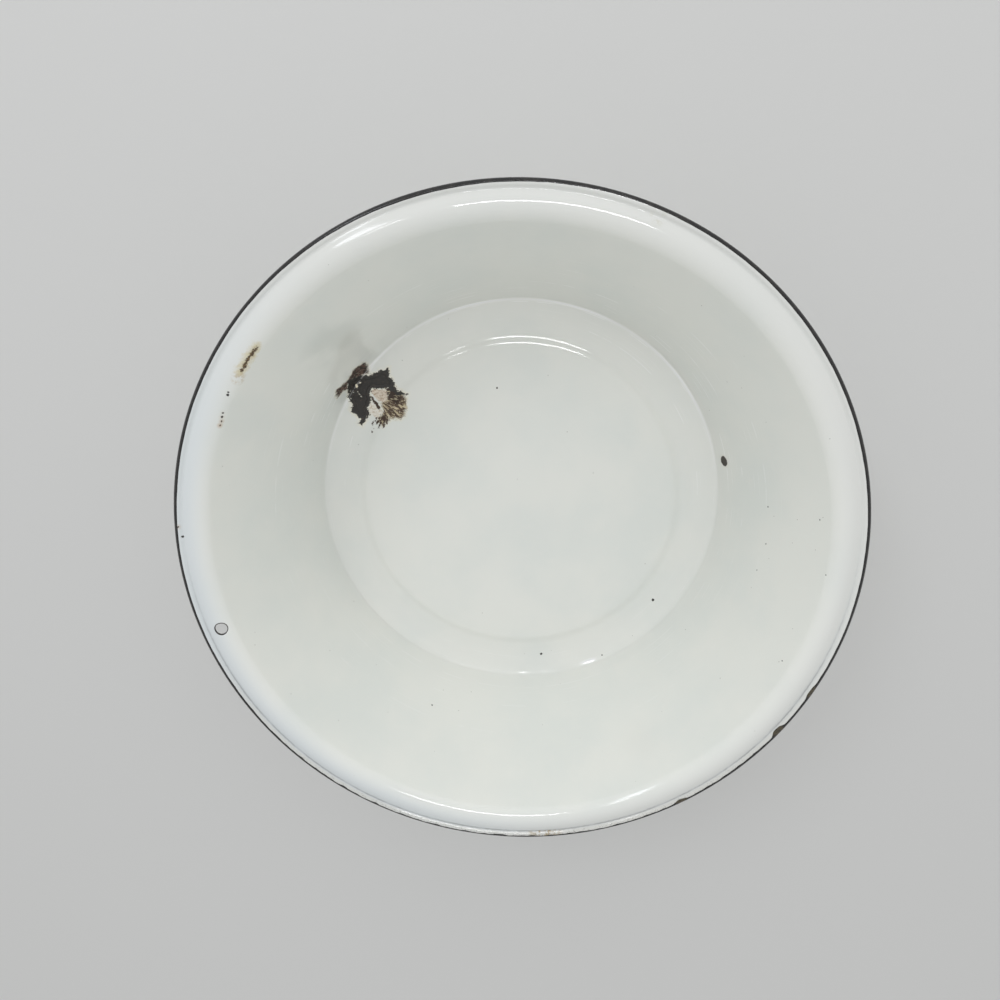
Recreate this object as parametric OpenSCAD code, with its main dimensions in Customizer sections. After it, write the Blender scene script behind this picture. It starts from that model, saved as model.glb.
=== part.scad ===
// Round enamelled steel basin with a rolled lip, a beaded edge and a hang hole.
// All sizes are millimetres. The basin stands on its foot at z = 0, opening up.

/* [Bowl] */
// Diameter over the finished edge
rim_d = 368; // [300:1:440]
// Height from the table to the top of the lip
bowl_h = 105; // [70:1:150]
// Inside diameter at the heel, where the wall starts
heel_d = 262; // [220:1:300]
// Inside bend radius at the heel
heel_r = 3; // [2:0.5:6]

/* [Foot and floor] */
// Slope of the shoulder between the heel and the foot, in degrees
shoulder_a = 28; // [20:1:40]
// Length of the straight part of the shoulder
shoulder_l = 0.6; // [0:0.1:12]
// Inside bend radius between the foot and the shoulder
foot_r = 37; // [16:0.5:44]
// Width of the flat ring that the basin stands on
foot_w = 2; // [1.5:0.5:8]
// Height of the raised floor above the foot
step_h = 1.5; // [1:0.1:4]
// Bend radius of the step between the foot and the raised floor
step_r = 14; // [6:0.5:24]

/* [Lip and bead] */
// Width from the finished edge in to the top of the lip
lip_w = 11; // [10:0.5:16]
// Bend radius over the top of the lip
lip_r = 8.6; // [6:0.1:12]
// Fall of the lip towards the bead, in degrees
lip_fall = 22; // [12:0.5:28]
// Radius of the groove between the lip and the bead
groove_r = 1.5; // [1:0.25:4]
// Diameter of the bead, with its white coat
bead_d = 4.2; // [3.8:0.1:6]
// Slope at which the sheet runs up into the bead, in degrees
bead_rise = 45; // [18:1:50]
// Gap left between the curled edge and the lip above it
curl_gap = 0.4; // [0.2:0.05:0.8]

/* [Sheet and coats] */
// Thickness of the pressed steel sheet
steel_t = 0.8; // [0.5:0.05:1]
// Thickness of the dark ground coat on each face
ground_t = 0.12; // [0.08:0.01:0.2]
// Thickness of the white cover coat on each face
cover_t = 0.18; // [0.1:0.01:0.3]
// Thickness of the black edging on the bead
band_t = 0.1; // [0.05:0.01:0.2]
// Where the black edging starts, in degrees up from the outermost line
band_from = 85; // [60:1:110]
// Where the black edging ends, in degrees down from the outermost line
band_to = 120; // [60:1:150]

/* [Hang hole] */
// Clear diameter of the hang hole
hole_d = 6.6; // [4:0.1:7.4]
// Distance from the finished edge in to the middle of the hole
hole_in = 13; // [10:0.1:15]
// Direction of the hole, in degrees round from +X
hole_dir = 196.4; // [0:0.1:359]
// Width of the dark ring left bare of white round the hole
bare_w = 0.5; // [0.2:0.05:0.8]

/* [Hidden] */

// Facets of a ring and of a hole, and the angle between two points of a bend
ring_facets = 180;
hole_facets = 64;
bend_step = 8;

// Depth of each boundary below the inside face, from the white coat to the outside
in_cover_d = cover_t;
in_ground_d = in_cover_d + ground_t;
steel_d = in_ground_d + steel_t;
out_ground_d = steel_d + ground_t;
wall_t = out_ground_d + cover_t;

// The bead's middle, and the groove and the lip set out from it
bead_r = bead_d / 2;
bead_x = rim_d / 2 - band_t - bead_r;
groove_from_bead = (bead_r + groove_r) * [-sin(bead_rise), cos(bead_rise)];
lip_x = rim_d / 2 - lip_w;
lip_out = [sin(lip_fall), cos(lip_fall)];
lip_line = lip_out * (groove_from_bead - groove_r * lip_out + [bead_x, 0]);
lip_from_bead = (lip_line - lip_r - lip_x * lip_out[0]) / lip_out[1];
lip_c = [lip_x, bowl_h - lip_r];
bead_c = [bead_x, lip_c[1] - lip_from_bead];
groove_c = bead_c + groove_from_bead;

// The curl stops short of the lip's underside
curl_top = groove_from_bead[1] - groove_r - wall_t - curl_gap - ground_t;
curl_end = -180 - asin(curl_top / bead_r);
curl_cap = asin(ground_t / (bead_r - in_ground_d));

// The foot, the raised floor and the heel, all on the inside face
foot_z = wall_t;
heel_x = heel_d / 2 - heel_r;
foot_out_x = heel_x - (foot_r - heel_r) * sin(shoulder_a) - shoulder_l * cos(shoulder_a);
foot_in_x = foot_out_x - foot_w;
step_a = acos(1 - step_h / (2 * step_r));
floor_x = foot_in_x - 2 * step_r * sin(step_a);
floor_z = foot_z + step_h;
heel_z = foot_z + foot_r - (foot_r - heel_r) * cos(shoulder_a) + shoulder_l * sin(shoulder_a);
heel_c = [heel_x, heel_z];

// The straight wall is the line that touches the heel bend and the lip bend
wall_run = lip_c - heel_c;
wall_a = atan2(wall_run[1], wall_run[0]) + asin((lip_r + heel_r) / norm(wall_run));

// The hole stands square to the lip at its middle
hole_x = rim_d / 2 - hole_in;
hole_tilt = asin((hole_x - lip_x) / lip_r);
hole_mid = lip_c + (lip_r - wall_t / 2) * [sin(hole_tilt), cos(hole_tilt)];
steel_hole_d = hole_d + 2 * ground_t;
cover_hole_d = hole_d + 2 * bare_w;
hole_cut_l = 4 * wall_t + hole_d;

// Angles of the points of a bend, and those points about c, all measured from +X
function turns(from, to) =
    let (n = max(2, ceil(abs(to - from) / bend_step)))
    [for (i = [0:n]) from + (to - from) * i / n];
function bend_at(c, r, angles) = [for (a = angles) c + r * [cos(a), sin(a)]];
function bend(c, r, from, to) = bend_at(c, r, turns(from, to));

function backwards(p) = [for (i = [len(p) - 1:-1:0]) p[i]];

// The floor, foot, heel, wall and lip, at depth d below the inside face
function bowl_face(d) = concat(
    [[0, floor_z - d]],
    bend([floor_x, floor_z - step_r], step_r - d, 90, 90 - step_a),
    bend([foot_in_x, foot_z + step_r], step_r + d, -90 - step_a, -90),
    bend([foot_out_x, foot_z + foot_r], foot_r + d, -90, -90 + shoulder_a),
    bend(heel_c, heel_r + d, -90 + shoulder_a, -90 + wall_a),
    bend(lip_c, lip_r - d, 90 + wall_a, 90 - lip_fall));

// The same face carried on through the groove and round the bead, to angle end
function curled_face(d, end) = concat(
    bowl_face(d),
    bend(groove_c, groove_r + d, -90 - lip_fall, -90 + bead_rise),
    bend(bead_c, bead_r - d, 90 + bead_rise, end));

// The same face carried on to the lowest line of the groove's underside
function lip_face(d) = concat(
    bowl_face(d),
    bend(groove_c, groove_r + d, -90 - lip_fall, -90));

module spin(points) {
    rotate_extrude($fn = ring_facets) polygon(points);
}

module hang_hole(d) {
    rotate([0, 0, hole_dir])
        translate([hole_mid[0], 0, hole_mid[1]])
            rotate([0, hole_tilt, 0])
                cylinder(d = d, h = hole_cut_l, center = true, $fn = hole_facets);
}

// Basin drawn from one sheet of steel, its edge curled outwards and under
module steel_shell() {
    color("#5b5e61") difference() {
        spin(concat(curled_face(in_ground_d, curl_end), backwards(curled_face(steel_d, curl_end))));
        hang_hole(steel_hole_d);
    }
}

// Dark enamel that wraps the whole sheet, round its curled edge and through the hole
module ground_coat() {
    tip = curl_end - curl_cap;
    color("#26221f") difference() {
        union() {
            spin(concat(curled_face(in_cover_d, tip), backwards(curled_face(out_ground_d, tip)),
                curled_face(steel_d, curl_end), backwards(curled_face(in_ground_d, curl_end))));
            intersection() {
                hang_hole(steel_hole_d);
                spin(concat(lip_face(in_cover_d), backwards(lip_face(out_ground_d))));
            }
        }
        hang_hole(hole_d);
    }
}

// White enamel on the inside, over the lip and round the bead
module inner_cover_coat() {
    tip = curl_end - curl_cap;
    color("#eceeea") difference() {
        spin(concat(curled_face(0, tip), backwards(curled_face(in_cover_d, tip))));
        hang_hole(cover_hole_d);
    }
}

// White enamel on the outside, up to the underside of the lip
module outer_cover_coat() {
    color("#e4e6e2") difference() {
        spin(concat(lip_face(out_ground_d), backwards(lip_face(wall_t))));
        hang_hole(cover_hole_d);
    }
}

// Black enamel edging over the outer side of the bead
module rim_band() {
    // Its points are the white coat's own, so that the two lie face to face
    coat = turns(90 + bead_rise, curl_end - curl_cap);
    between = [for (a = coat) if (a < band_from - 1 && a > 1 - band_to) a];
    angles = concat([band_from], between, [-band_to]);
    color("#1d1c1b")
        spin(concat(bend_at(bead_c, bead_r + band_t, angles),
            backwards(bend_at(bead_c, bead_r, angles))));
}

steel_shell();
ground_coat();
inner_cover_coat();
outer_cover_coat();
rim_band();
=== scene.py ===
"""Round enamelled steel basin with a rolled lip, a beaded edge and a hang hole, seen from over its rim."""
import math

import bpy
import numpy as np
from mathutils import Matrix, Vector


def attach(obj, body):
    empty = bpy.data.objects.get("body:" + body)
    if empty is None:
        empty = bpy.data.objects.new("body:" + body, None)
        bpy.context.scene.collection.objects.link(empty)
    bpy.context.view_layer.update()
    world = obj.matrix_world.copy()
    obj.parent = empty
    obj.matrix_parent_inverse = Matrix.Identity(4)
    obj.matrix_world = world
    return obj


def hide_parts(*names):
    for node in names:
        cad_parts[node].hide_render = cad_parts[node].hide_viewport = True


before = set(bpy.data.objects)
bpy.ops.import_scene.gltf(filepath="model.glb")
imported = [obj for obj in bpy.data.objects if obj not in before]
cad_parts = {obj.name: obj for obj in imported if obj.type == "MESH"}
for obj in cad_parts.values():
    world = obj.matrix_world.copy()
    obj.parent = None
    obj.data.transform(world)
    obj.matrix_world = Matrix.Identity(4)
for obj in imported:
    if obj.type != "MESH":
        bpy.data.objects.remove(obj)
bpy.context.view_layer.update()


# --- Camera ---------------------------------------------------------------------------------
# It looks down into the basin from over the rim, as the photograph does. Its place was fitted
# to the finished edge.
back = Vector((0.0544, 0.2879, 0.9561)).normalized()
right = Vector((-0.0164, 0.9577, -0.2874)).cross(back).normalized()
camera_data = bpy.data.cameras.new("camera")
camera_data.lens = 24.98
camera_data.sensor_width = 36.0
camera = bpy.data.objects.new("camera", camera_data)
camera.matrix_world = (Matrix.Translation((0.0129, 0.1339, 0.44855))
                       @ Matrix((right, back.cross(right), back)).transposed().to_4x4())
bpy.context.collection.objects.link(camera)
bpy.context.scene.camera = camera


# --- Light ----------------------------------------------------------------------------------
# A pale room, a ceiling strip over the far side of the basin, and a window up to the left.
# Both stand where their reflections on the lip put them.
def srgb(hex_colour):
    """Linear RGBA of a colour written as sRGB hex."""
    c = np.array([int(hex_colour[i:i + 2], 16) / 255 for i in (1, 3, 5)])
    c = np.where(c <= 0.04045, c / 12.92, ((c + 0.055) / 1.055) ** 2.4)
    return (*c.tolist(), 1.0)


def add(tree, kind, *values, **settings):
    """Shader node of that kind, with its inputs linked or set in order (None leaves one alone)."""
    node = tree.nodes.new("ShaderNode" + kind)
    for key, value in settings.items():
        setattr(node, key, value)
    for socket, value in zip(node.inputs, values):
        if isinstance(value, bpy.types.NodeSocket):
            tree.links.new(value, socket)
        elif value is not None:
            socket.default_value = value
    return node


def calc(tree, operation, a, b=0.0):
    """Output of a Math node."""
    return add(tree, "Math", a, b, operation=operation).outputs[0]


def times(tree, product, *factors):
    """All of them multiplied, from left to right."""
    for factor in factors:
        product = calc(tree, "MULTIPLY", product, factor)
    return product


def area_light(name, place, aim, size, watts, colour, glossy=True):
    """Rectangular lamp at place, facing aim, size[0] wide along X, seen in reflections if glossy."""
    data = bpy.data.lights.new(name, "AREA")
    data.shape = "RECTANGLE"
    data.size, data.size_y = size
    data.energy = watts
    data.color = srgb(colour)[:3]
    lamp = bpy.data.objects.new(name, data)
    lamp.visible_glossy = glossy
    lamp.location = place
    lamp.rotation_euler = (Vector(aim) - Vector(place)).to_track_quat("-Z", "Y").to_euler()
    bpy.context.collection.objects.link(lamp)


# The room is darker towards its ceiling, and on its near side
world = bpy.data.worlds.new("pale_room")
world.use_nodes = True
tree = world.node_tree
way = add(tree, "SeparateXYZ", add(tree, "TexCoord").outputs["Generated"]).outputs
by_height = add(tree, "MapRange", way["Z"], 0.15, 0.9, 0.855, 0.635).outputs[0]
by_side = add(tree, "MapRange", way["Y"], -1.0, 1.0, 0.84, 1.08).outputs[0]
sky = tree.nodes["Background"]
sky.inputs["Color"].default_value = srgb("#f0f1f2")
tree.links.new(times(tree, by_height, by_side), sky.inputs["Strength"])
bpy.context.scene.world = world
area_light("ceiling_strip", (0.08, 0.60, 1.50), (0.08, 0.0, 0.05), (0.64, 0.10), 4.6, "#fdfdff")
area_light("ceiling_strip_end", (-0.50, 0.60, 1.50), (-0.50, 0.0, 0.05), (0.14, 0.10), 0.45, "#fdfdff")
area_light("window", (-1.10, 1.36, 1.75), (-0.07, 0.16, 0.10), (0.30, 0.80), 4.9, "#f4f8ff")
# Two soft lamps fill the room. They don't show in the enamel
area_light("soft_far", (0.0, 1.60, 1.10), (0, 0, 0.05), (2.4, 1.2), 5.8, "#ffffff", glossy=False)
area_light("soft_near", (0.0, -1.60, 0.75), (0, 0, 0.05), (2.2, 0.6), 2.3, "#ffffff", glossy=False)
bpy.context.scene.view_settings.view_transform = "Standard"


# --- Basin wall -----------------------------------------------------------------------------
# The wall is one drawn sheet under three coats of enamel. Every coat follows one outline, the
# inside face, at its own depth below it. Sizes are in mm here, and made metres by M.
M = 0.001
COVER_T, BAND_T = 0.18, 0.1
# Depth of the dark coat's two faces and of the outside
GROUND_IN, GROUND_OUT, OUTSIDE = 0.18, 1.22, 1.40
GROOVE_C, BEAD_C, BEAD_R = (179.2544, 104.7663), (181.8, 102.2207), 2.1
# Bends of the outline: centre, radius, first and last angle, and how far apart the points are
# on the bend and on the straight line before it
BENDS = [((100.4666, -11.1), 14.0, 90, 71.1608, 0.75, 6.0),      # down from the raised floor
         ((109.5082, 15.4), 14.0, -108.8392, -90, 0.75, 0.75),   # into the foot ring
         ((111.5082, 38.4), 37.0, -90, -62, 0.75, 0.75),         # shoulder
         ((128, 8.6615), 3.0, -62, -20.3968, 0.5, 0.75),         # heel
         ((173, 96.4), 8.6, 159.6032, 68, 0.7, 3.0),             # up the wall and over the lip
         (GROOVE_C, 1.5, -112, -45, 0.25, 0.7),                  # groove
         (BEAD_C, BEAD_R, 135, -155.39, 0.4, 0.7)]               # round the bead
# Middle and axis of the hang hole, its radius, and the radius that the white coats leave bare
HOLE_AT, HOLE_AXIS = np.array([-164.1989, -48.3264, 104.0834]), np.array([0.2230963, 0.0656608, 0.9725825])
HOLE_R, BARE_R = 3.3, 3.8
# Run along the outline past which the lip lies, and the two between which the hang hole lies
LIP_RUN, HOLE_RUNS = 225, (230, 247)


def bend(centre, radius, start, end, step):
    """Points and normals of a bend: centre + radius (cos a, sin a), a from start to end in degrees."""
    n = max(2, math.ceil(math.radians(abs(end - start)) * radius / step))
    a = np.radians(np.linspace(start, end, n + 1))
    ray = np.c_[np.cos(a), np.sin(a)]
    return np.array(centre) + radius * ray, -ray if end > start else ray


def line(p, q, step):
    """Points between p and q at most step apart, without its ends."""
    n = math.ceil(np.hypot(*(q - p)) / step)
    return p + (q - p) * np.arange(1, n)[:, None] / max(n, 1)


def outline():
    """Inside face from the middle of the floor to the curled edge: points, and unit normals out of the enamel."""
    points, normals = [np.array([[0.0, 2.9]])], [np.array([[0.0, 1.0]])]
    for *shape, step, line_step in BENDS:
        p, n = bend(*shape, step)
        start = points[-1][-1]
        if np.hypot(*(p[0] - start)) > 1e-3:
            between = line(start, p[0], line_step)
            points += [between, p]
            normals += [np.repeat(n[:1], len(between), axis=0), n]
        else:
            points.append(p[1:])
            normals.append(n[1:])
    return np.concatenate(points), np.concatenate(normals)


FACE, NORMAL = outline()
ALONG = np.r_[0, np.cumsum(np.hypot(*np.diff(FACE, axis=0).T))]
GROOVE = int(np.argmin(np.abs(FACE[:, 0] - GROOVE_C[0])))


def azimuths():
    """Directions of the wall's ribs in degrees: 2 apart, 0.35 apart at the chips and 0.2 at the hang hole."""
    a = np.concatenate([np.arange(0, 132.9, 2), np.arange(133, 156.1, 0.35), np.arange(158, 193.9, 2),
                        np.arange(194.4, 198.5, 0.2), np.arange(200, 359.9, 2)])
    return np.unique(np.round(a, 3))


def make_object(name, verts, faces, material):
    """Smooth mesh object, riding on the root body, from points in mm and a list of face arrays."""
    mesh = bpy.data.meshes.new(name)
    mesh.from_pydata((verts * M).tolist(), [], [f for block in faces for f in block.tolist()])
    mesh.shade_smooth()
    mesh.materials.append(material)
    obj = bpy.data.objects.new(name, mesh)
    bpy.context.collection.objects.link(obj)
    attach(obj, "root")
    return obj


def onto(points, depth):
    """Points near the hang hole slid along its axis onto the outline at a depth."""
    lip = (ALONG > LIP_RUN) & (ALONG < ALONG[GROOVE])
    r, z = (FACE - depth * NORMAL)[lip].T
    for _ in range(4):
        fall = np.interp(np.hypot(points[:, 0], points[:, 1]), r, z) - points[:, 2]
        points = points + np.outer(fall, HOLE_AXIS)
    return points


def ring_quads(rows, m):
    """Quads between rows of m points each, closed round the basin."""
    j, i = np.meshgrid(np.arange(rows - 1), np.arange(m), indexing="ij")
    k = (i + 1) % m
    return np.stack([j * m + i, (j + 1) * m + i, (j + 1) * m + k, j * m + k], axis=2).reshape(-1, 4)


def lathe(depth, hole, last=None, flip=False):
    """The outline at a depth, spun round Z: (r cos a, r sin a, z).

    Returns the points in mm, quads and triangles, and the azimuth and run of each point. Points within the
    radius hole of the hang hole's axis move out to its circle, and the faces wholly inside it go."""
    rz = (FACE - depth * NORMAL)[:last]
    a = azimuths()
    ar = np.radians(a)
    n, m = len(rz) - 1, len(a)
    body = np.stack([np.outer(rz[1:, 0], np.cos(ar)), np.outer(rz[1:, 0], np.sin(ar)),
                     np.repeat(rz[1:, 1:], m, axis=1)], axis=2).reshape(-1, 3)
    verts = np.concatenate([[[0.0, 0.0, rz[0, 1]]], body])
    az = np.r_[0.0, np.tile(a, n)]
    run = np.r_[0.0, np.repeat(ALONG[:len(rz)][1:], m)]
    quads = 1 + ring_quads(n, m)
    i = np.arange(m)
    tris = np.stack([np.zeros(m, int), 1 + i, 1 + (i + 1) % m], axis=1)
    arm = verts - HOLE_AT
    arm -= np.outer(arm @ HOLE_AXIS, HOLE_AXIS)
    rho = np.linalg.norm(arm, axis=1)
    inside = (rho < hole) & (run > HOLE_RUNS[0]) & (run < HOLE_RUNS[1])
    grow = hole / np.maximum(rho[inside], 1e-6) - 1
    verts[inside] = onto(verts[inside] + arm[inside] * grow[:, None], depth)
    quads = quads[~inside[quads].all(axis=1)]
    if flip:
        quads, tris = quads[:, ::-1], tris[:, ::-1]
    return verts, quads, tris, az, run


def solidify(obj, thickness):
    """Gives a coat its real thickness, inwards from the face that shows."""
    mod = obj.modifiers.new("coat", "SOLIDIFY")
    mod.thickness = thickness * M
    mod.offset = -1.0
    mod.use_even_offset = False


# --- Chips and stains -----------------------------------------------------------------------
# One big chip lies across the heel at the upper left, and a pitted line of rust crosses the
# lip above it. Their outlines are drawn in mm along and across the wall.
# Azimuth and run of each one's middle, and the radius there
CHIP_AT, LIP_CHIP_AT = (144.8, 123.0, 122.6), (142.9, 234.6, 167.3)
OUTLINES = {
    "black": [(-3.3, 19.1), (-6.1, 15.4), (-10.5, 5.3), (-15.6, 1.2), (-17.7, 1.4), (-20.7, -1.9), (-23.4, -1.7),
              (-19.5, -5.6), (-18.4, -9.2), (-15.5, -14.2), (-19.5, -22.3), (-13.7, -18.6), (-12.4, -14.3),
              (-11.8, -9.9), (-6.5, -4.4), (-5.6, -2.5), (-1.5, -2.7), (1.4, -5.4), (3.6, -6.1), (8.4, -6.7),
              (10.7, -9.7), (13.5, -8.6), (17.7, -8.6), (21.5, -8.2), (20.4, -5.1), (17.6, -5.8), (15.8, -1.5),
              (14.2, 3.3), (11.7, 3.1), (8.3, 5.8), (5.0, 9.9), (2.0, 12.8)],
    "smear": [(-17.2, 16.8), (-15.8, 9.3), (-12.9, 6.1), (-9.7, 7.6), (-6.6, 10.4), (-3.8, 15.9), (-0.7, 16.0),
              (2.2, 13.8), (4.5, 17.4), (8.6, 17.9), (7.7, 21.0), (4.0, 24.4), (1.0, 22.6), (-1.3, 20.0),
              (-5.5, 19.5), (-10.6, 20.5), (-14.0, 19.6)],
    "tan": [(-3.1, -2.5), (-5.8, -3.0), (-10.2, -9.1), (-8.4, -11.5), (-4.2, -14.2), (-0.7, -11.7), (-0.6, -8.4)],
    "pale": [(3.9, -5.5), (2.7, -8.1), (3.8, -12.5), (3.7, -15.9), (7.5, -16.1), (11.1, -15.6), (10.9, -11.2),
             (9.7, -7.4)],
    "brown": [(-11.0, -8.5), (-15.6, -11.2), (-15.8, -17.4), (-16.5, -23.5), (-9.7, -27.3), (-2.6, -29.5),
              (1.7, -28.2), (3.4, -24.5), (5.4, -22.2), (9.7, -21.9), (14.6, -20.7), (11.6, -15.8), (3.7, -15.9),
              (0.2, -12.2), (-5.9, -13.2)],
    "dark": [(-11.7, -9.2), (-15.6, -11.2), (-15.0, -15.4), (-15.4, -18.4), (-12.5, -21.3), (-7.4, -22.1),
             (-6.9, -18.7), (-6.4, -15.2), (-8.4, -11.5)],
}
# Straight strokes of dark rust, and flecks of white left in the black: both ends, and half the width
STROKES = [((0.2, -6.0), (3.6, -12.6), 0.9), ((7.4, -17.9), (17.1, -18.9), 0.6),
           ((5.5, -18.7), (14.5, -21.8), 0.6), ((7.5, -16.1), (15.1, -16.3), 0.5),
           ((5.4, -20.5), (10.2, -22.2), 0.5), ((11.2, -14.5), (16.7, -13.7), 0.5),
           ((22.2, -15.8), (22.3, -15.8), 0.3), ((19.2, -15.7), (19.3, -15.7), 0.3)]
FLECKS = [((-4.4, 6.0), (-4.0, 6.4), 0.45), ((-1.9, 7.6), (-0.9, 6.6), 0.65), ((3.0, 6.7), (3.2, 6.4), 0.2),
          ((1.6, 4.8), (3.6, 0.2), 0.25), ((2.9, 9.0), (3.0, 9.2), 0.3)]
LIP_LINE = [(-7.9, 0.4), (-4.2, -0.1), (-1.1, 0.2), (2.1, 0.0), (4.6, -0.3), (6.7, 0.3)]
# Run of the corner of the heel, and azimuth and run of the one glassy spot in its near side, painted with a white
# highlight
HEEL_RUN, PAINTED_HIGHLIGHT_AT = 130.4, (293.5, 129.4)
# Places on the near heel that wear has left shiny: azimuth, half width in degrees, and how shiny
SHINY = ((272, 1.2, 0.6), (280, 1.6, 0.35), (PAINTED_HIGHLIGHT_AT[0], 2.6, 1.0))


def distance(u, v, points, closed=True):
    """Distance in mm from each (u, v) to a line through points, negative inside where it is closed.

    min over segments of |w - e clamp(w.e / e.e, 0, 1)|, w from the segment's start and e along it."""
    p = np.array(points, float)
    q = np.roll(p, -1, axis=0) if closed else p[1:]
    best, inside = np.full(u.shape, 1e9), np.zeros(u.shape, bool)
    for (x0, y0), (x1, y1) in zip(p, q):
        wx, wy, ex, ey = u - x0, v - y0, x1 - x0, y1 - y0
        t = np.clip((wx * ex + wy * ey) / (ex * ex + ey * ey), 0, 1)
        best = np.minimum(best, np.hypot(wx - t * ex, wy - t * ey))
        if y0 != y1:
            inside ^= ((y0 > v) != (y1 > v)) & (wx < ex * wy / ey)
    return np.where(inside, -best, best) if closed else best


def wall_fields(az, run):
    """Values at each point of a wall for its materials to read, and the point's place on the big chip's plane.

    Most are distances in mm to an outline. Two say how glassy and how dull the heel is; the glassy one also says
    where a white highlight is painted."""
    def plane(at):
        return np.radians(az - at[0]) * at[2], run - at[1]
    u, v = plane(CHIP_AT)
    fields = {name: distance(u, v, shape) for name, shape in OUTLINES.items()}
    for name, lines in (("strokes", STROKES), ("flecks", FLECKS)):
        fields[name] = np.min([distance(u, v, ends, closed=False) - half for *ends, half in lines], axis=0)
    fields["lip"] = distance(*plane(LIP_CHIP_AT), LIP_LINE, closed=False)
    fields["groove"] = run - ALONG[GROOVE]
    # The far corner of the heel is glassy all along, a little unevenly, and painted white along it as a highlight
    far = np.clip(np.sin(np.radians(az)) * 3.0 - 0.5, 0, 1) * (0.75 + 0.25 * np.sin(np.radians(11 * az)))
    # One spot on the near heel is glassy and painted white as a highlight, more strongly
    spot = 1.5 * np.exp(-((az - PAINTED_HIGHLIGHT_AT[0]) / 2.0) ** 4 - ((run - PAINTED_HIGHLIGHT_AT[1]) / 0.9) ** 2)
    fields["glassy_painted_highlight"] = far * np.exp(-((run - HEEL_RUN) / 0.5) ** 2) + spot
    # Wear dulls the heel on the near side, but for a few places
    near = np.clip(np.sin(np.radians(-az)) * 3.0, 0, 1)
    left = sum(shine * np.exp(-((az - middle) / half) ** 2) for middle, half, shine in SHINY)
    fields["worn"] = near * np.exp(-((run - 130) / 6.0) ** 2) * (1 - np.clip(left, 0, 1))
    return fields, np.stack([u, v, np.zeros_like(u)], axis=1)


def store(mesh, fields, plane):
    """Writes the wall's fields and the chip's plane on a mesh's points."""
    for name, values in fields.items():
        mesh.attributes.new(name, "FLOAT", "POINT").data.foreach_set("value", values.astype(np.float32))
    row = mesh.attributes.new("chip_plane", "FLOAT_VECTOR", "POINT")
    row.data.foreach_set("vector", plane.astype(np.float32).ravel())


def stored(tree, *names):
    """Outputs that read values stored on the mesh's points."""
    return [add(tree, "Attribute", attribute_name=name).outputs["Fac"] for name in names]


def ramp(tree, value, low, high, to_low=0.0, to_high=1.0):
    """Value mapped smoothly from low..high to to_low..to_high, clamped."""
    return add(tree, "MapRange", value, low, high, to_low, to_high, interpolation_type="SMOOTHSTEP").outputs[0]


def mixed(tree, factor, a, b):
    """Colour a, turning to b as factor goes to 1."""
    node = tree.nodes.new("ShaderNodeMix")
    node.data_type = "RGBA"
    for index, value in ((0, factor), (6, a), (7, b)):
        if isinstance(value, bpy.types.NodeSocket):
            tree.links.new(value, node.inputs[index])
        else:
            node.inputs[index].default_value = value
    return node.outputs[2]


def noise(tree, place, size_mm, detail=4.0, roughness=0.55):
    """Noise whose lumps are about size_mm across, on a place given in metres."""
    return add(tree, "TexNoise", place, None, 1000.0 / size_mm, detail, roughness).outputs[0]


def patches(tree, place, lumps, *levels):
    """Noise of a size, detail and roughness, mapped smoothly between levels."""
    return ramp(tree, noise(tree, place, *lumps), *levels)


def wander(tree, place, size_mm, amount, detail=4.0):
    """Offset that shifts an outline about, from lumps of that size."""
    return times(tree, calc(tree, "SUBTRACT", noise(tree, place, size_mm, detail, 0.65), 0.5), amount)


def new_material(name):
    """Material with an empty tree, its Principled shader and its Object coordinates."""
    material = bpy.data.materials.new(name)
    material.use_nodes = True
    tree = material.node_tree
    tree.nodes.clear()
    shader = add(tree, "BsdfPrincipled")
    tree.links.new(shader.outputs[0], add(tree, "OutputMaterial").inputs[0])
    return material, tree, shader, add(tree, "TexCoord").outputs["Object"]


def connect(tree, shader, *pairs):
    """Links outputs to the shader's inputs of those names."""
    for name, value in pairs:
        tree.links.new(value, shader.inputs[name])


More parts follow.
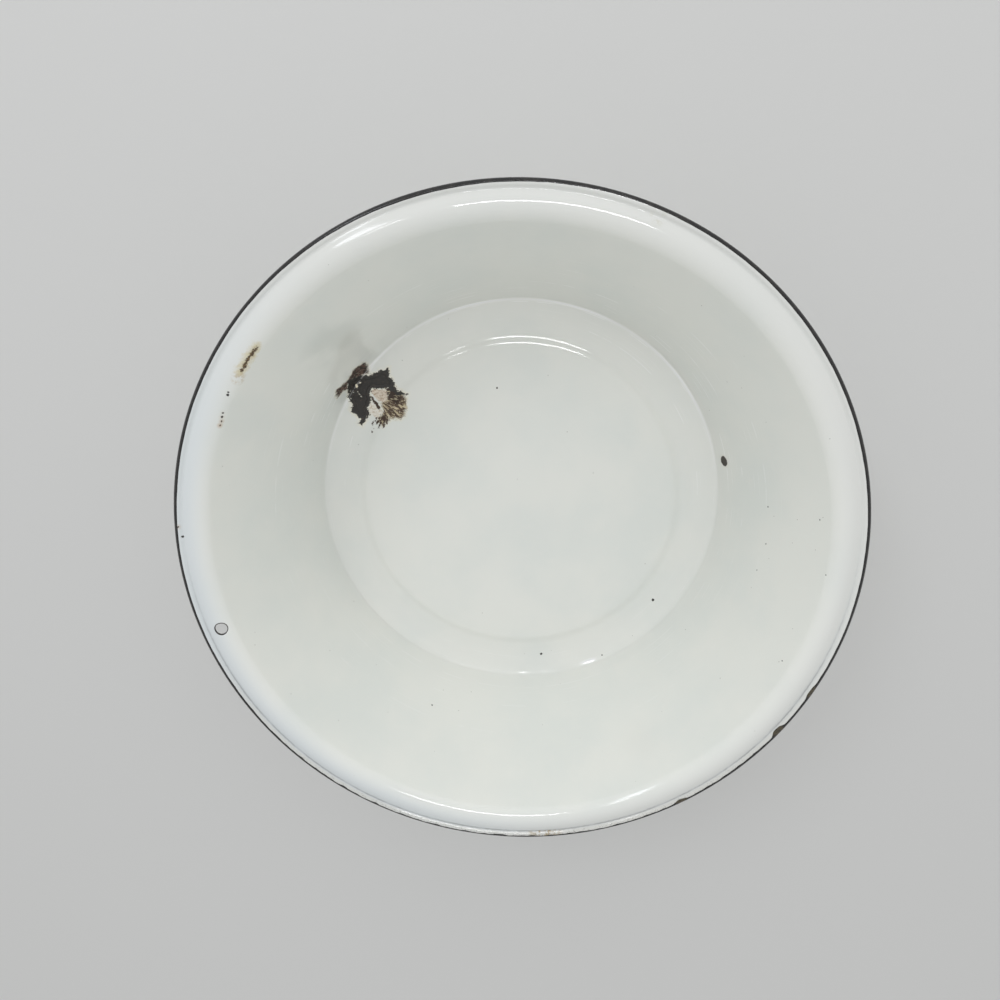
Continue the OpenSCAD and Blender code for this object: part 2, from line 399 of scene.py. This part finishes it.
def damage(tree, place, colour, rough):
    """Chips, rust and stains laid over an enamel's colour and roughness.

    Returns both, and how much chip there is."""
    def mask(distance, shift, soft=0.15):
        """1 inside an outline shifted by a wandering offset, 0 outside."""
        return ramp(tree, calc(tree, "ADD", distance, shift), soft, -soft)

    def two_tone(factor, a, b):
        return mixed(tree, factor, srgb(a), srgb(b))

    black, smear, tan, pale, brown, dark, strokes, flecks, lip = stored(
        tree, "black", "smear", "tan", "pale", "brown", "dark", "strokes", "flecks", "lip")
    fine = wander(tree, place, 0.8, 2.6)
    edge = calc(tree, "ADD", wander(tree, place, 2.4, 5.0, 6.0), fine)
    # Hairs run outwards from the chip's middle: noise on its angle, hardly changing with distance
    chip_plane = add(tree, "Attribute", attribute_name="chip_plane").outputs["Vector"]
    u, v, _ = add(tree, "SeparateXYZ", chip_plane).outputs
    x, y = calc(tree, "ADD", u, 1.0), calc(tree, "ADD", v, 6.0)
    reach = calc(tree, "SQRT", calc(tree, "ADD", times(tree, x, x), times(tree, y, y)))
    angle = calc(tree, "ARCTAN2", y, x)
    polar = add(tree, "CombineXYZ", times(tree, angle, 9.0), times(tree, reach, 0.16)).outputs[0]
    hairs = add(tree, "TexNoise", polar, None, 1.0, 4.0, 0.7).outputs[0]
    spikes = times(tree, calc(tree, "SUBTRACT", hairs, 0.5), 7.0)
    haired = calc(tree, "ADD", edge, spikes)

    # Cream halo round the big chip, and yellowish stain round the one on the lip
    nearest = calc(tree, "MINIMUM", calc(tree, "MINIMUM", black, brown), smear)
    halo = times(tree, mask(nearest, edge, 2.8), patches(tree, place, (1.6, 4.0, 0.7), 0.38, 0.56, 0.35, 1.0))
    colour = mixed(tree, halo, colour, srgb("#efe5c6"))
    stain = times(tree, ramp(tree, calc(tree, "ADD", lip, wander(tree, place, 3.0, 7.0)), 4.2, 0.4), 0.8)
    colour = mixed(tree, stain, colour, two_tone(ramp(tree, fine, -0.5, 0.4), "#c6b489", "#d8cfa9"))

    # Rusty film below the chip, brown to olive in hairs that run outwards, darker next to the black
    film = times(tree, mask(brown, haired, 1.0), ramp(tree, hairs, 0.30, 0.50, 0.45, 1.0))
    rusty = two_tone(ramp(tree, hairs, 0.41, 0.52), "#b8a783", "#4e3b2c")
    rusty = mixed(tree, patches(tree, place, (0.9, 3.0, 0.6), 0.60, 0.68), rusty, srgb("#d9cfbc"))
    colour = mixed(tree, film, colour, rusty)
    deep = times(tree, mask(dark, haired, 0.7), ramp(tree, hairs, 0.36, 0.46))
    colour = mixed(tree, deep, colour, srgb("#38291f"))
    # Dark reddish smear above the chip
    dirt = times(tree, mask(smear, times(tree, edge, 1.3), 0.9), patches(tree, place, (1.1, 4.0, 0.7), 0.28, 0.40))
    dusk = two_tone(patches(tree, place, (2.0, 5.0, 0.75), 0.46, 0.58), "#2b211c", "#6d544b")
    dusk = mixed(tree, patches(tree, place, (1.4, 4.0, 0.7), 0.58, 0.66), dusk, srgb("#8b806a"))
    colour = mixed(tree, dirt, colour, dusk)
    # Pinkish tan and whitish patches, where a film is left over the ground coat
    tan_film, pale_film = mask(tan, edge, 0.5), mask(pale, edge, 0.6)
    grain = patches(tree, place, (1.3, 5.0, 0.75), 0.46, 0.62)
    colour = mixed(tree, tan_film, colour, two_tone(grain, "#ded3c4", "#ae957b"))
    colour = mixed(tree, pale_film, colour, two_tone(grain, "#eae6dc", "#c8b9a3"))
    # Bare black ground coat, with flecks of white left on it, and dark strokes of rust
    white_left = mask(flecks, times(tree, fine, 0.8))
    bare = mask(black, calc(tree, "ADD", edge, times(tree, spikes, 0.7)))
    bare = times(tree, bare, calc(tree, "SUBTRACT", 1.0, white_left))
    coal = two_tone(patches(tree, place, (1.6, 5.0, 0.7), 0.52, 0.75), "#32302d", "#56473e")
    colour = mixed(tree, bare, colour, coal)
    rust = mask(strokes, times(tree, edge, 0.8))
    colour = mixed(tree, rust, colour, srgb("#412f24"))
    # Pitted rusty line across the lip
    pits = mask(lip, calc(tree, "SUBTRACT", wander(tree, place, 1.3, 5.5, 5.0), 0.75), 0.25)
    colour = mixed(tree, pits, colour, two_tone(ramp(tree, fine, -0.2, 0.4), "#48392b", "#75603c"))

    for part in (dirt, times(tree, film, 0.7), deep, tan_film, pale_film, rust, pits):
        bare = calc(tree, "MAXIMUM", bare, part)
    return colour, add(tree, "MapRange", bare, 0.0, 1.0, rough, 0.6).outputs[0], bare


# --- White enamel ---------------------------------------------------------------------------
# Fired cover coat: glossy, slightly warm grey-white, with a faint orange peel, long soft
# waves, dark specks and small pits, and the chips above.
# Spots and stains are at a radius in mm, an azimuth in degrees and a height in mm.
# A spot then has its own radius in mm, and how much rust it has
SPOTS = [(133.5, 13.6, 14.9, 3.4, 0.15), (117.8, 322.8, 1.9, 0.95, 0.0), (116.9, 278.4, 1.8, 0.85, 0.0),
         (144.3, 247.2, 43.8, 0.5, 0.0), (128.1, 298.0, 5.3, 0.45, 0.0), (163.3, 337.1, 95.1, 0.45, 0.0),
         (76.0, 100.9, 2.9, 0.6, 0.0), (147.8, 5.2, 53.3, 0.4, 0.0), (148.3, 356.5, 54.7, 0.4, 0.0),
         (147.6, 349.6, 52.8, 0.35, 0.0), (162.5, 6.6, 92.7, 0.4, 0.0), (165.4, 356.8, 100.5, 0.4, 0.0),
         (179.7, 178.0, 103.4, 0.7, 0.0), (181.2, 176.2, 104.4, 0.5, 0.4), (167.7, 150.2, 103.2, 0.75, 0.0),
         (168.1, 149.7, 103.4, 0.55, 0.0), (166.9, 153.7, 102.5, 0.55, 0.1), (166.6, 154.5, 102.2, 0.75, 0.2),
         (166.3, 155.3, 101.8, 0.5, 0.5), (166.4, 156.1, 101.9, 0.5, 0.7)]
OUTSIDE_SPOTS = [(133.9, 228.0, 11.6, 1.3, 0.4), (134.4, 221.5, 13.4, 0.6, 0.1), (121.5, 248.0, 3.9, 1.0, 0.2),
                 (119.3, 30.0, 3.1, 1.2, 0.3), (134.0, 96.0, 12.1, 1.1, 0.3), (133.5, 311.0, 10.9, 0.7, 0.1),
                 (156.0, 142.0, 69.8, 0.6, 0.0), (163.2, 268.0, 89.5, 0.6, 0.1)]
# A stain has a radius, a strength, the size and roughness of its grain, and a colour. Three are
# dirt and rust on the lip and the bead, and the last is a grey smudge on the wall
STAINS = [(178.6, 68.4, 103.7, 5.0, 0.3, 4.0, 0.7, "#b3ae88"),
          (179.9, 276.5, 104.4, 13.0, 0.9, 2.2, 0.7, "#98845c"),
          (166.8, 146.6, 102.3, 5.0, 0.5, 2.2, 0.7, "#b59c6c"),
          (148.5, 134.5, 56.0, 27.0, 0.22, 30.0, 0.4, "#a9b0a8")]
# Radius of the faint ring that the press left round the floor
PRESSED_R = 77.0
ENAMEL_IOR = 1.52


def away_from(tree, place, r, a, z):
    """Distance in metres from a place to the point at radius r, azimuth a and height z."""
    point = (r * M * math.cos(math.radians(a)), r * M * math.sin(math.radians(a)), z * M)
    return add(tree, "VectorMath", place, point, operation="DISTANCE").outputs["Value"]


def spot_field(tree, place, spots):
    """How far inside the nearest spot a place is, in mm, and that spot's rust."""
    depth, rust = None, None
    for *point, size, iron in spots:
        d = calc(tree, "SUBTRACT", size, times(tree, away_from(tree, place, *point), 1000.0))
        depth = d if depth is None else calc(tree, "MAXIMUM", depth, d)
        near = times(tree, ramp(tree, d, -1.8, 0.0), iron)
        rust = near if rust is None else calc(tree, "MAXIMUM", rust, near)
    return calc(tree, "ADD", depth, wander(tree, place, 1.5, 1.6)), rust


def axes(tree, place):
    """X, Y and Z of a place in metres, and its distance in mm from the basin's axis."""
    x, y, z = add(tree, "SeparateXYZ", place).outputs
    squares = calc(tree, "ADD", calc(tree, "POWER", x, 2.0), calc(tree, "POWER", y, 2.0))
    return x, y, z, times(tree, calc(tree, "SQRT", squares), 1000.0)


def edge_wear_and_painted_shade(tree, place, colour):
    """Painted shade greys the lip's groove, mostly on the near side. The near bead is greyed by painted shade, and
    knocked and specked.
    """
    y, groove = axes(tree, place)[1], stored(tree, "groove")[0]
    # Painted shade in the groove: a grey haze and a darker line, both stronger on the near side
    low = ramp(tree, y, 0.05, -0.12)
    off = calc(tree, "ABSOLUTE", calc(tree, "ADD", groove, wander(tree, place, 2.5, 0.9)))
    groove_painted_shade = times(tree, ramp(tree, off, 2.4, 0.0), ramp(tree, low, 0.0, 1.0, 0.0, 0.35))
    colour = mixed(tree, groove_painted_shade, colour, srgb("#b4babf"))
    line = times(tree, ramp(tree, off, 0.7, 0.1), ramp(tree, low, 0.0, 1.0, 0.05, 0.5),
                 patches(tree, place, (9.0, 3.0, 0.6), 0.35, 0.6, 0.45, 1.0))
    colour = mixed(tree, line, colour, mixed(tree, low, srgb("#a9adb1"), srgb("#76746f")))
    # Painted shade greys the near bead
    dull = times(tree, ramp(tree, y, -0.05, -0.12), ramp(tree, groove, 0.3, 1.2, 0.0, 0.75))
    colour = mixed(tree, dull, colour, srgb("#cfcfc9"))
    knocks = times(tree, patches(tree, place, (0.9, 4.0, 0.7), 0.54, 0.66), ramp(tree, groove, 0.6, 1.4),
                   ramp(tree, y, -0.09, -0.15), 0.6)
    colour = mixed(tree, knocks, colour, srgb("#8d8d8b"))
    pepper = times(tree, patches(tree, place, (0.6, 3.0, 0.6), 0.61, 0.66), ramp(tree, groove, 1.2, 2.4),
                   ramp(tree, y, -0.09, -0.14))
    return mixed(tree, pepper, colour, srgb("#45433f"))


def stained(tree, place, colour):
    """Stains laid over a colour. Those on the near side keep to the bead."""
    for r, a, z, size, strength, grain, roughness, hue in STAINS:
        away = times(tree, away_from(tree, place, r, a, z), 1000.0 / size)
        tint = times(tree, ramp(tree, away, 1.0, 0.3),
                     patches(tree, place, (grain, 4.0, roughness), 0.42, 0.62, 0.0, strength))
        if a > 180:
            tint = times(tree, tint, ramp(tree, stored(tree, "groove")[0], -0.6, 0.6))
        colour = mixed(tree, tint, colour, srgb(hue))
    return colour


def heel_gloss_and_painted_highlight(tree, shader, colour):
    """The near heel is worn dull. Enamel pooled in the corner of the heel is glassier, and a white highlight is
    painted along it.
    """
    worn, glassy_painted_highlight = stored(tree, "worn", "glassy_painted_highlight")
    connect(tree, shader, ("Specular IOR Level", ramp(tree, worn, 0.0, 1.0, 0.5, 0.05)),
            ("IOR", ramp(tree, glassy_painted_highlight, 0.0, 1.6, ENAMEL_IOR, 4.2)))
    # Painted highlight: white along the corner of the heel
    return mixed(tree, glassy_painted_highlight, colour, srgb("#ffffff"))


def press_marks_and_painted_highlights(tree, place, colour, height):
    """A faint ring where the floor was pressed, and draw lines round the heel, with white highlights painted along
    them in places, most on the far side.
    """
    _, y, _, radius = axes(tree, place)
    ring = ramp(tree, calc(tree, "ABSOLUTE", calc(tree, "SUBTRACT", radius, PRESSED_R)), 3.0, 0.0)
    height = calc(tree, "ADD", height, times(tree, ring, 0.8))
    across = add(tree, "CombineXYZ", times(tree, radius, 1.3)).outputs[0]
    drawn = add(tree, "TexNoise", across, None, 1.0, 2.0, 0.6).outputs[0]
    zone = times(tree, ramp(tree, radius, 118.0, 126.0), ramp(tree, radius, 150.0, 138.0))
    height = calc(tree, "ADD", height, times(tree, drawn, zone, 0.5))
    # Painted highlights on the draw lines, stronger on the far side
    zone = times(tree, ramp(tree, radius, 104.0, 122.0), ramp(tree, radius, 156.0, 140.0))
    painted_scratch_highlight = times(tree, ramp(tree, drawn, 0.54, 0.64), patches(tree, place, (22.0, 3.0, 0.6), 0.50, 0.60),
                  ramp(tree, y, -0.03, 0.05, 0.3, 1.0), zone, 0.45)
    return mixed(tree, painted_scratch_highlight, colour, srgb("#ffffff")), height


def inside_wear_and_painted_light(tree, shader, place, colour, rough, height):
    """All that shows on the inside only: wear, stains and chips, with painted shade and painted highlights."""
    colour = stained(tree, place, edge_wear_and_painted_shade(tree, place, colour))
    colour = heel_gloss_and_painted_highlight(tree, shader, colour)
    colour, height = press_marks_and_painted_highlights(tree, place, colour, height)
    colour, rough, bare = damage(tree, place, colour, rough)
    pitted = times(tree, bare, calc(tree, "SUBTRACT", noise(tree, place, 0.9, 4.0, 0.7), 3.0))
    return colour, rough, calc(tree, "ADD", height, pitted)


def outside_wear(tree, shader, place, colour, rough, height):
    """Rubbed grey where the foot ring stands on the table."""
    foot = times(tree, ramp(tree, axes(tree, place)[2], 0.0012, 0.0),
                 patches(tree, place, (2.0, 4.0, 0.7), 0.42, 0.58), 0.6)
    return mixed(tree, foot, colour, srgb("#8e8c87")), rough, height


def white_enamel(name, base, spots, wear):
    """Glossy white enamel. Colour, roughness and bump come from noise at the real sizes of its flaws."""
    material, tree, shader, place = new_material(name)
    x, y, _, radius = axes(tree, place)
    colour = mixed(tree, patches(tree, place, (60.0, 3.0, 0.5), 0.35, 0.7), srgb(base), srgb("#e2e5e0"))
    mottle = patches(tree, place, (7.0, 4.0, 0.6), 0.5, 0.9, 0.0, 0.35)
    colour = mixed(tree, mottle, colour, srgb("#ebeae4"))
    # Dark specks in about one in six of cells 6 mm wide
    cells = add(tree, "TexVoronoi", place, None, 160.0, feature="F1").outputs
    chosen = ramp(tree, add(tree, "SeparateColor", cells["Color"]).outputs[0], 0.82, 0.84)
    speck = times(tree, ramp(tree, cells["Distance"], 0.055, 0.03), chosen)
    colour = mixed(tree, times(tree, speck, 0.7), colour, srgb("#6f6a60"))
    # Painted shade and a painted bluish reflection grey and cool the lip, bluer towards azimuth 205 degrees
    west = calc(tree, "ADD", times(tree, x, -0.906), times(tree, y, -0.423))
    lip_painted_shade_and_reflection = mixed(tree, ramp(tree, west, 0.01, 0.15), srgb("#dbdcd8"), srgb("#d3d9db"))
    colour = mixed(tree, times(tree, ramp(tree, radius, 164.0, 176.0), 0.8), colour, lip_painted_shade_and_reflection)
    rough = add(tree, "MapRange", noise(tree, place, 12.0, 5.0, 0.6), 0.3, 0.75, 0.06, 0.13).outputs[0]
    # Soft waves, a fine orange peel, and a hollow at each speck
    peel = times(tree, noise(tree, place, 1.6, 2.0, 0.5), 0.10)
    height = calc(tree, "ADD", noise(tree, place, 9.0, 2.0, 0.5), peel)
    height = calc(tree, "SUBTRACT", height, times(tree, speck, 0.2))
    colour, rough, height = wear(tree, shader, place, colour, rough, height)
    inside, rust = spot_field(tree, place, spots)
    colour = mixed(tree, times(tree, rust, 0.6), colour, srgb("#b98f5e"))
    pit = ramp(tree, inside, -0.1, 0.15)
    colour = mixed(tree, pit, colour, mixed(tree, rust, srgb("#35322f"), srgb("#5a4733")))
    rough = add(tree, "MapRange", pit, 0.0, 1.0, rough, 0.55).outputs[0]
    height = calc(tree, "SUBTRACT", height, times(tree, pit, 1.6))
    bump = add(tree, "Bump", 0.35, 0.00008, None, height).outputs[0]
    connect(tree, shader, ("Base Color", colour), ("Roughness", rough), ("Normal", bump))
    shader.inputs["IOR"].default_value = ENAMEL_IOR
    return material


inside_white = white_enamel("white_cover_enamel_inside", "#e8e9e3", SPOTS, inside_wear_and_painted_light)
outside_white = white_enamel("white_cover_enamel_outside", "#e3e5e0", OUTSIDE_SPOTS, outside_wear)


# --- Inner cover coat -----------------------------------------------------------------------
# White enamel on the inside, over the lip and round the bead. Where the big chip is deepest
# the coat is gone, and it stops half a millimetre short of the hang hole.
verts, quads, tris, az, run = lathe(0.0, BARE_R)
fields, plane = wall_fields(az, run)
gone = (fields["black"] < -2.2) & (fields["flecks"] > 0.8)
quads = quads[~gone[quads].all(axis=1)]
inner = make_object("inner_cover_enamel", verts, (quads, tris), inside_white)
store(inner.data, fields, plane)
solidify(inner, COVER_T)
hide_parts("inner_cover_coat")


# --- Ground coat ----------------------------------------------------------------------------
# Dark enamel fired on the bare steel before the white. It shows in the big chip and as the
# thin dark ring in the hang hole, and gives them a brownish black with a fine grain.
ground, tree, shader, place = new_material("dark_ground_enamel")
base = mixed(tree, patches(tree, place, (3.0, 5.0, 0.65), 0.35, 0.7), srgb("#2b2927"), srgb("#454039"))
colour, rough, _ = damage(tree, place, base, 0.35)
bump = add(tree, "Bump", 0.6, 0.0001, None, noise(tree, place, 0.8, 5.0, 0.7)).outputs[0]
connect(tree, shader, ("Base Color", colour), ("Roughness", rough), ("Normal", bump))

# Both faces, joined round the curled edge and through the hang hole
upper = lathe(GROUND_IN, HOLE_R)
lower = lathe(GROUND_OUT, HOLE_R, flip=True)
count, around = len(upper[0]), 64
turn = 2 * np.pi * np.arange(around) / around
side = np.cross(HOLE_AXIS, (0.0, 0.0, 1.0))
side /= np.linalg.norm(side)
ring = HOLE_AT + HOLE_R * (np.outer(np.cos(turn), side) + np.outer(np.sin(turn), np.cross(HOLE_AXIS, side)))
verts = np.concatenate([upper[0], lower[0], onto(ring, GROUND_IN), onto(ring, GROUND_OUT)])
i = np.arange(around) + 2 * count
k = np.roll(i, -1)
lining = np.stack([i, k, k + around, i + around], axis=1)
last = np.arange(count - len(azimuths()), count)
cap = np.stack([last, last + count, np.roll(last, -1) + count, np.roll(last, -1)], axis=1)
coat = make_object("ground_enamel", verts, (upper[1], upper[2], lower[1] + count, lower[2] + count, lining, cap),
                   ground)
az, run = (np.r_[upper[c], lower[c], np.zeros(2 * around)] for c in (3, 4))
fields, plane = wall_fields(az, run)
# Only the inside is chipped
for values in fields.values():
    values[count:] = 99.0
store(coat.data, fields, plane)
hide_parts("ground_coat")


# --- Outer cover coat -----------------------------------------------------------------------
# White enamel on the outside, up to the lowest line under the lip. It is not seen in the
# photograph.
verts, quads, tris, _, _ = lathe(OUTSIDE, BARE_R, last=GROOVE + 1, flip=True)
outer = make_object("outer_cover_enamel", verts, (quads, tris), outside_white)
solidify(outer, COVER_T)
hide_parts("outer_cover_coat")


# --- Black edging ---------------------------------------------------------------------------
# Black enamel brushed by hand round the outside of the bead, so its inner edge wanders. It is
# a soft black that the room greys, with a sheen that comes and goes.
# Angle up the bead where the black starts, by azimuth
EDGING = {0: 93, 30: 94, 55: 86, 78: 83, 96: 92, 105: 94, 122: 88, 138: 91, 155: 95, 168: 97, 185: 97, 202: 97,
          218: 95, 232: 91, 250: 82, 290: 84, 308: 93, 335: 94}
# Angle down the bead where it ends
EDGING_END = 120.0
# Knocks in its inner edge: azimuth, half width and depth in degrees
KNOCKS = ((236.4, 0.5, 14), (243.3, 0.5, 12), (303.3, 1.4, 24), (325.6, 1.35, 42), (334.9, 1.4, 18),
          (268, 1.5, 10), (282, 1.5, 10))
# Where the coats are knocked off the top of the bead: the azimuths, and the radius and height there
BARE_TURNS, BARE_AT = (303.3, 325.6, 334.9), (180.6, 104.6)


def edging_start(a):
    """Angle up the bead where the black starts, by azimuth: its slow turn, a brush's wobble, and knocks."""
    t = np.radians(a)
    slow = np.interp(a, list(EDGING), list(EDGING.values()), period=360)
    wobble = (1.3 * np.sin(7 * t + 0.6) + 1.0 * np.sin(17 * t + 2.1) + 0.8 * np.sin(41 * t + 0.3)
              + 0.6 * np.sin(83 * t + 1.7) + 0.5 * np.sin(151 * t))
    ragged = 4.0 * np.sin(61 * t) + 4.0 * np.sin(113 * t + 1.0) + 3.0 * np.sin(197 * t + 2.0)
    knocks = sum(depth * np.exp(-((a - middle) / half) ** 4) for middle, half, depth in KNOCKS)
    return slow + wobble + ragged * np.clip(-np.sin(t), 0, 1) ** 2 + knocks


edging, tree, shader, place = new_material("black_edging_enamel")
tone = mixed(tree, patches(tree, place, (4.0, 5.0, 0.6), 0.4, 0.75), srgb("#1b1b1b"), srgb("#2e2c29"))
for turn in BARE_TURNS:
    # Olive brown, with rust
    away = times(tree, away_from(tree, place, BARE_AT[0], turn, BARE_AT[1]), 1000.0)
    knocked = times(tree, ramp(tree, away, 5.0, 2.5), patches(tree, place, (1.2, 4.0, 0.7), 0.36, 0.5))
    tone = mixed(tree, knocked, tone, srgb("#4d4636"))
rough = add(tree, "MapRange", noise(tree, place, 3.0, 4.0, 0.6), 0.3, 0.75, 0.14, 0.34).outputs[0]
bump = add(tree, "Bump", 0.5, 0.0001, None, noise(tree, place, 2.5, 3.0, 0.5)).outputs[0]
connect(tree, shader, ("Base Color", tone), ("Roughness", rough), ("Normal", bump))
shader.inputs["IOR"].default_value = ENAMEL_IOR

# The bead's own circle, larger by the edging's thickness, from where the black starts to its end
a = np.arange(0, 360, 0.4)
share = np.linspace(0, 1, 15)[:, None]
phi = np.radians(edging_start(a)[None, :] * (1 - share) - EDGING_END * share)
az = np.radians(a)[None, :]
r = BEAD_C[0] + (BEAD_R + BAND_T) * np.cos(phi)
verts = np.stack([r * np.cos(az), r * np.sin(az), BEAD_C[1] + (BEAD_R + BAND_T) * np.sin(phi)], axis=2)
band = make_object("black_edging", verts.reshape(-1, 3), (ring_quads(len(share), len(a)),), edging)
solidify(band, BAND_T)
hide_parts("rim_band")


# --- Steel ----------------------------------------------------------------------------------
# The drawn sheet stays as the CAD made it, under its coats. It is bare grey metal, dulled and
# browned in patches.
steel, tree, shader, place = new_material("drawn_sheet_steel")
tone = mixed(tree, noise(tree, place, 5.0, 6.0, 0.6), srgb("#55565a"), srgb("#6a5b50"))
rough = add(tree, "MapRange", noise(tree, place, 2.0), 0.3, 0.7, 0.35, 0.6).outputs[0]
connect(tree, shader, ("Base Color", tone), ("Roughness", rough))
shader.inputs["Metallic"].default_value = 1.0
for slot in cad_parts["steel_shell"].material_slots:
    slot.material = steel


# --- Floor ----------------------------------------------------------------------------------
# A plain pale table top, matt enough to mirror nothing.
table_top, tree, shader, place = new_material("plain_pale_floor")
shader.inputs["Base Color"].default_value = srgb("#d0d0ce")
shader.inputs["Roughness"].default_value = 0.6
mesh = bpy.data.meshes.new("floor")
mesh.from_pydata([(-6, -6, 0), (6, -6, 0), (6, 6, 0), (-6, 6, 0)], [], [(0, 1, 2, 3)])
mesh.materials.append(table_top)
floor = bpy.data.objects.new("floor", mesh)
bpy.context.collection.objects.link(floor)
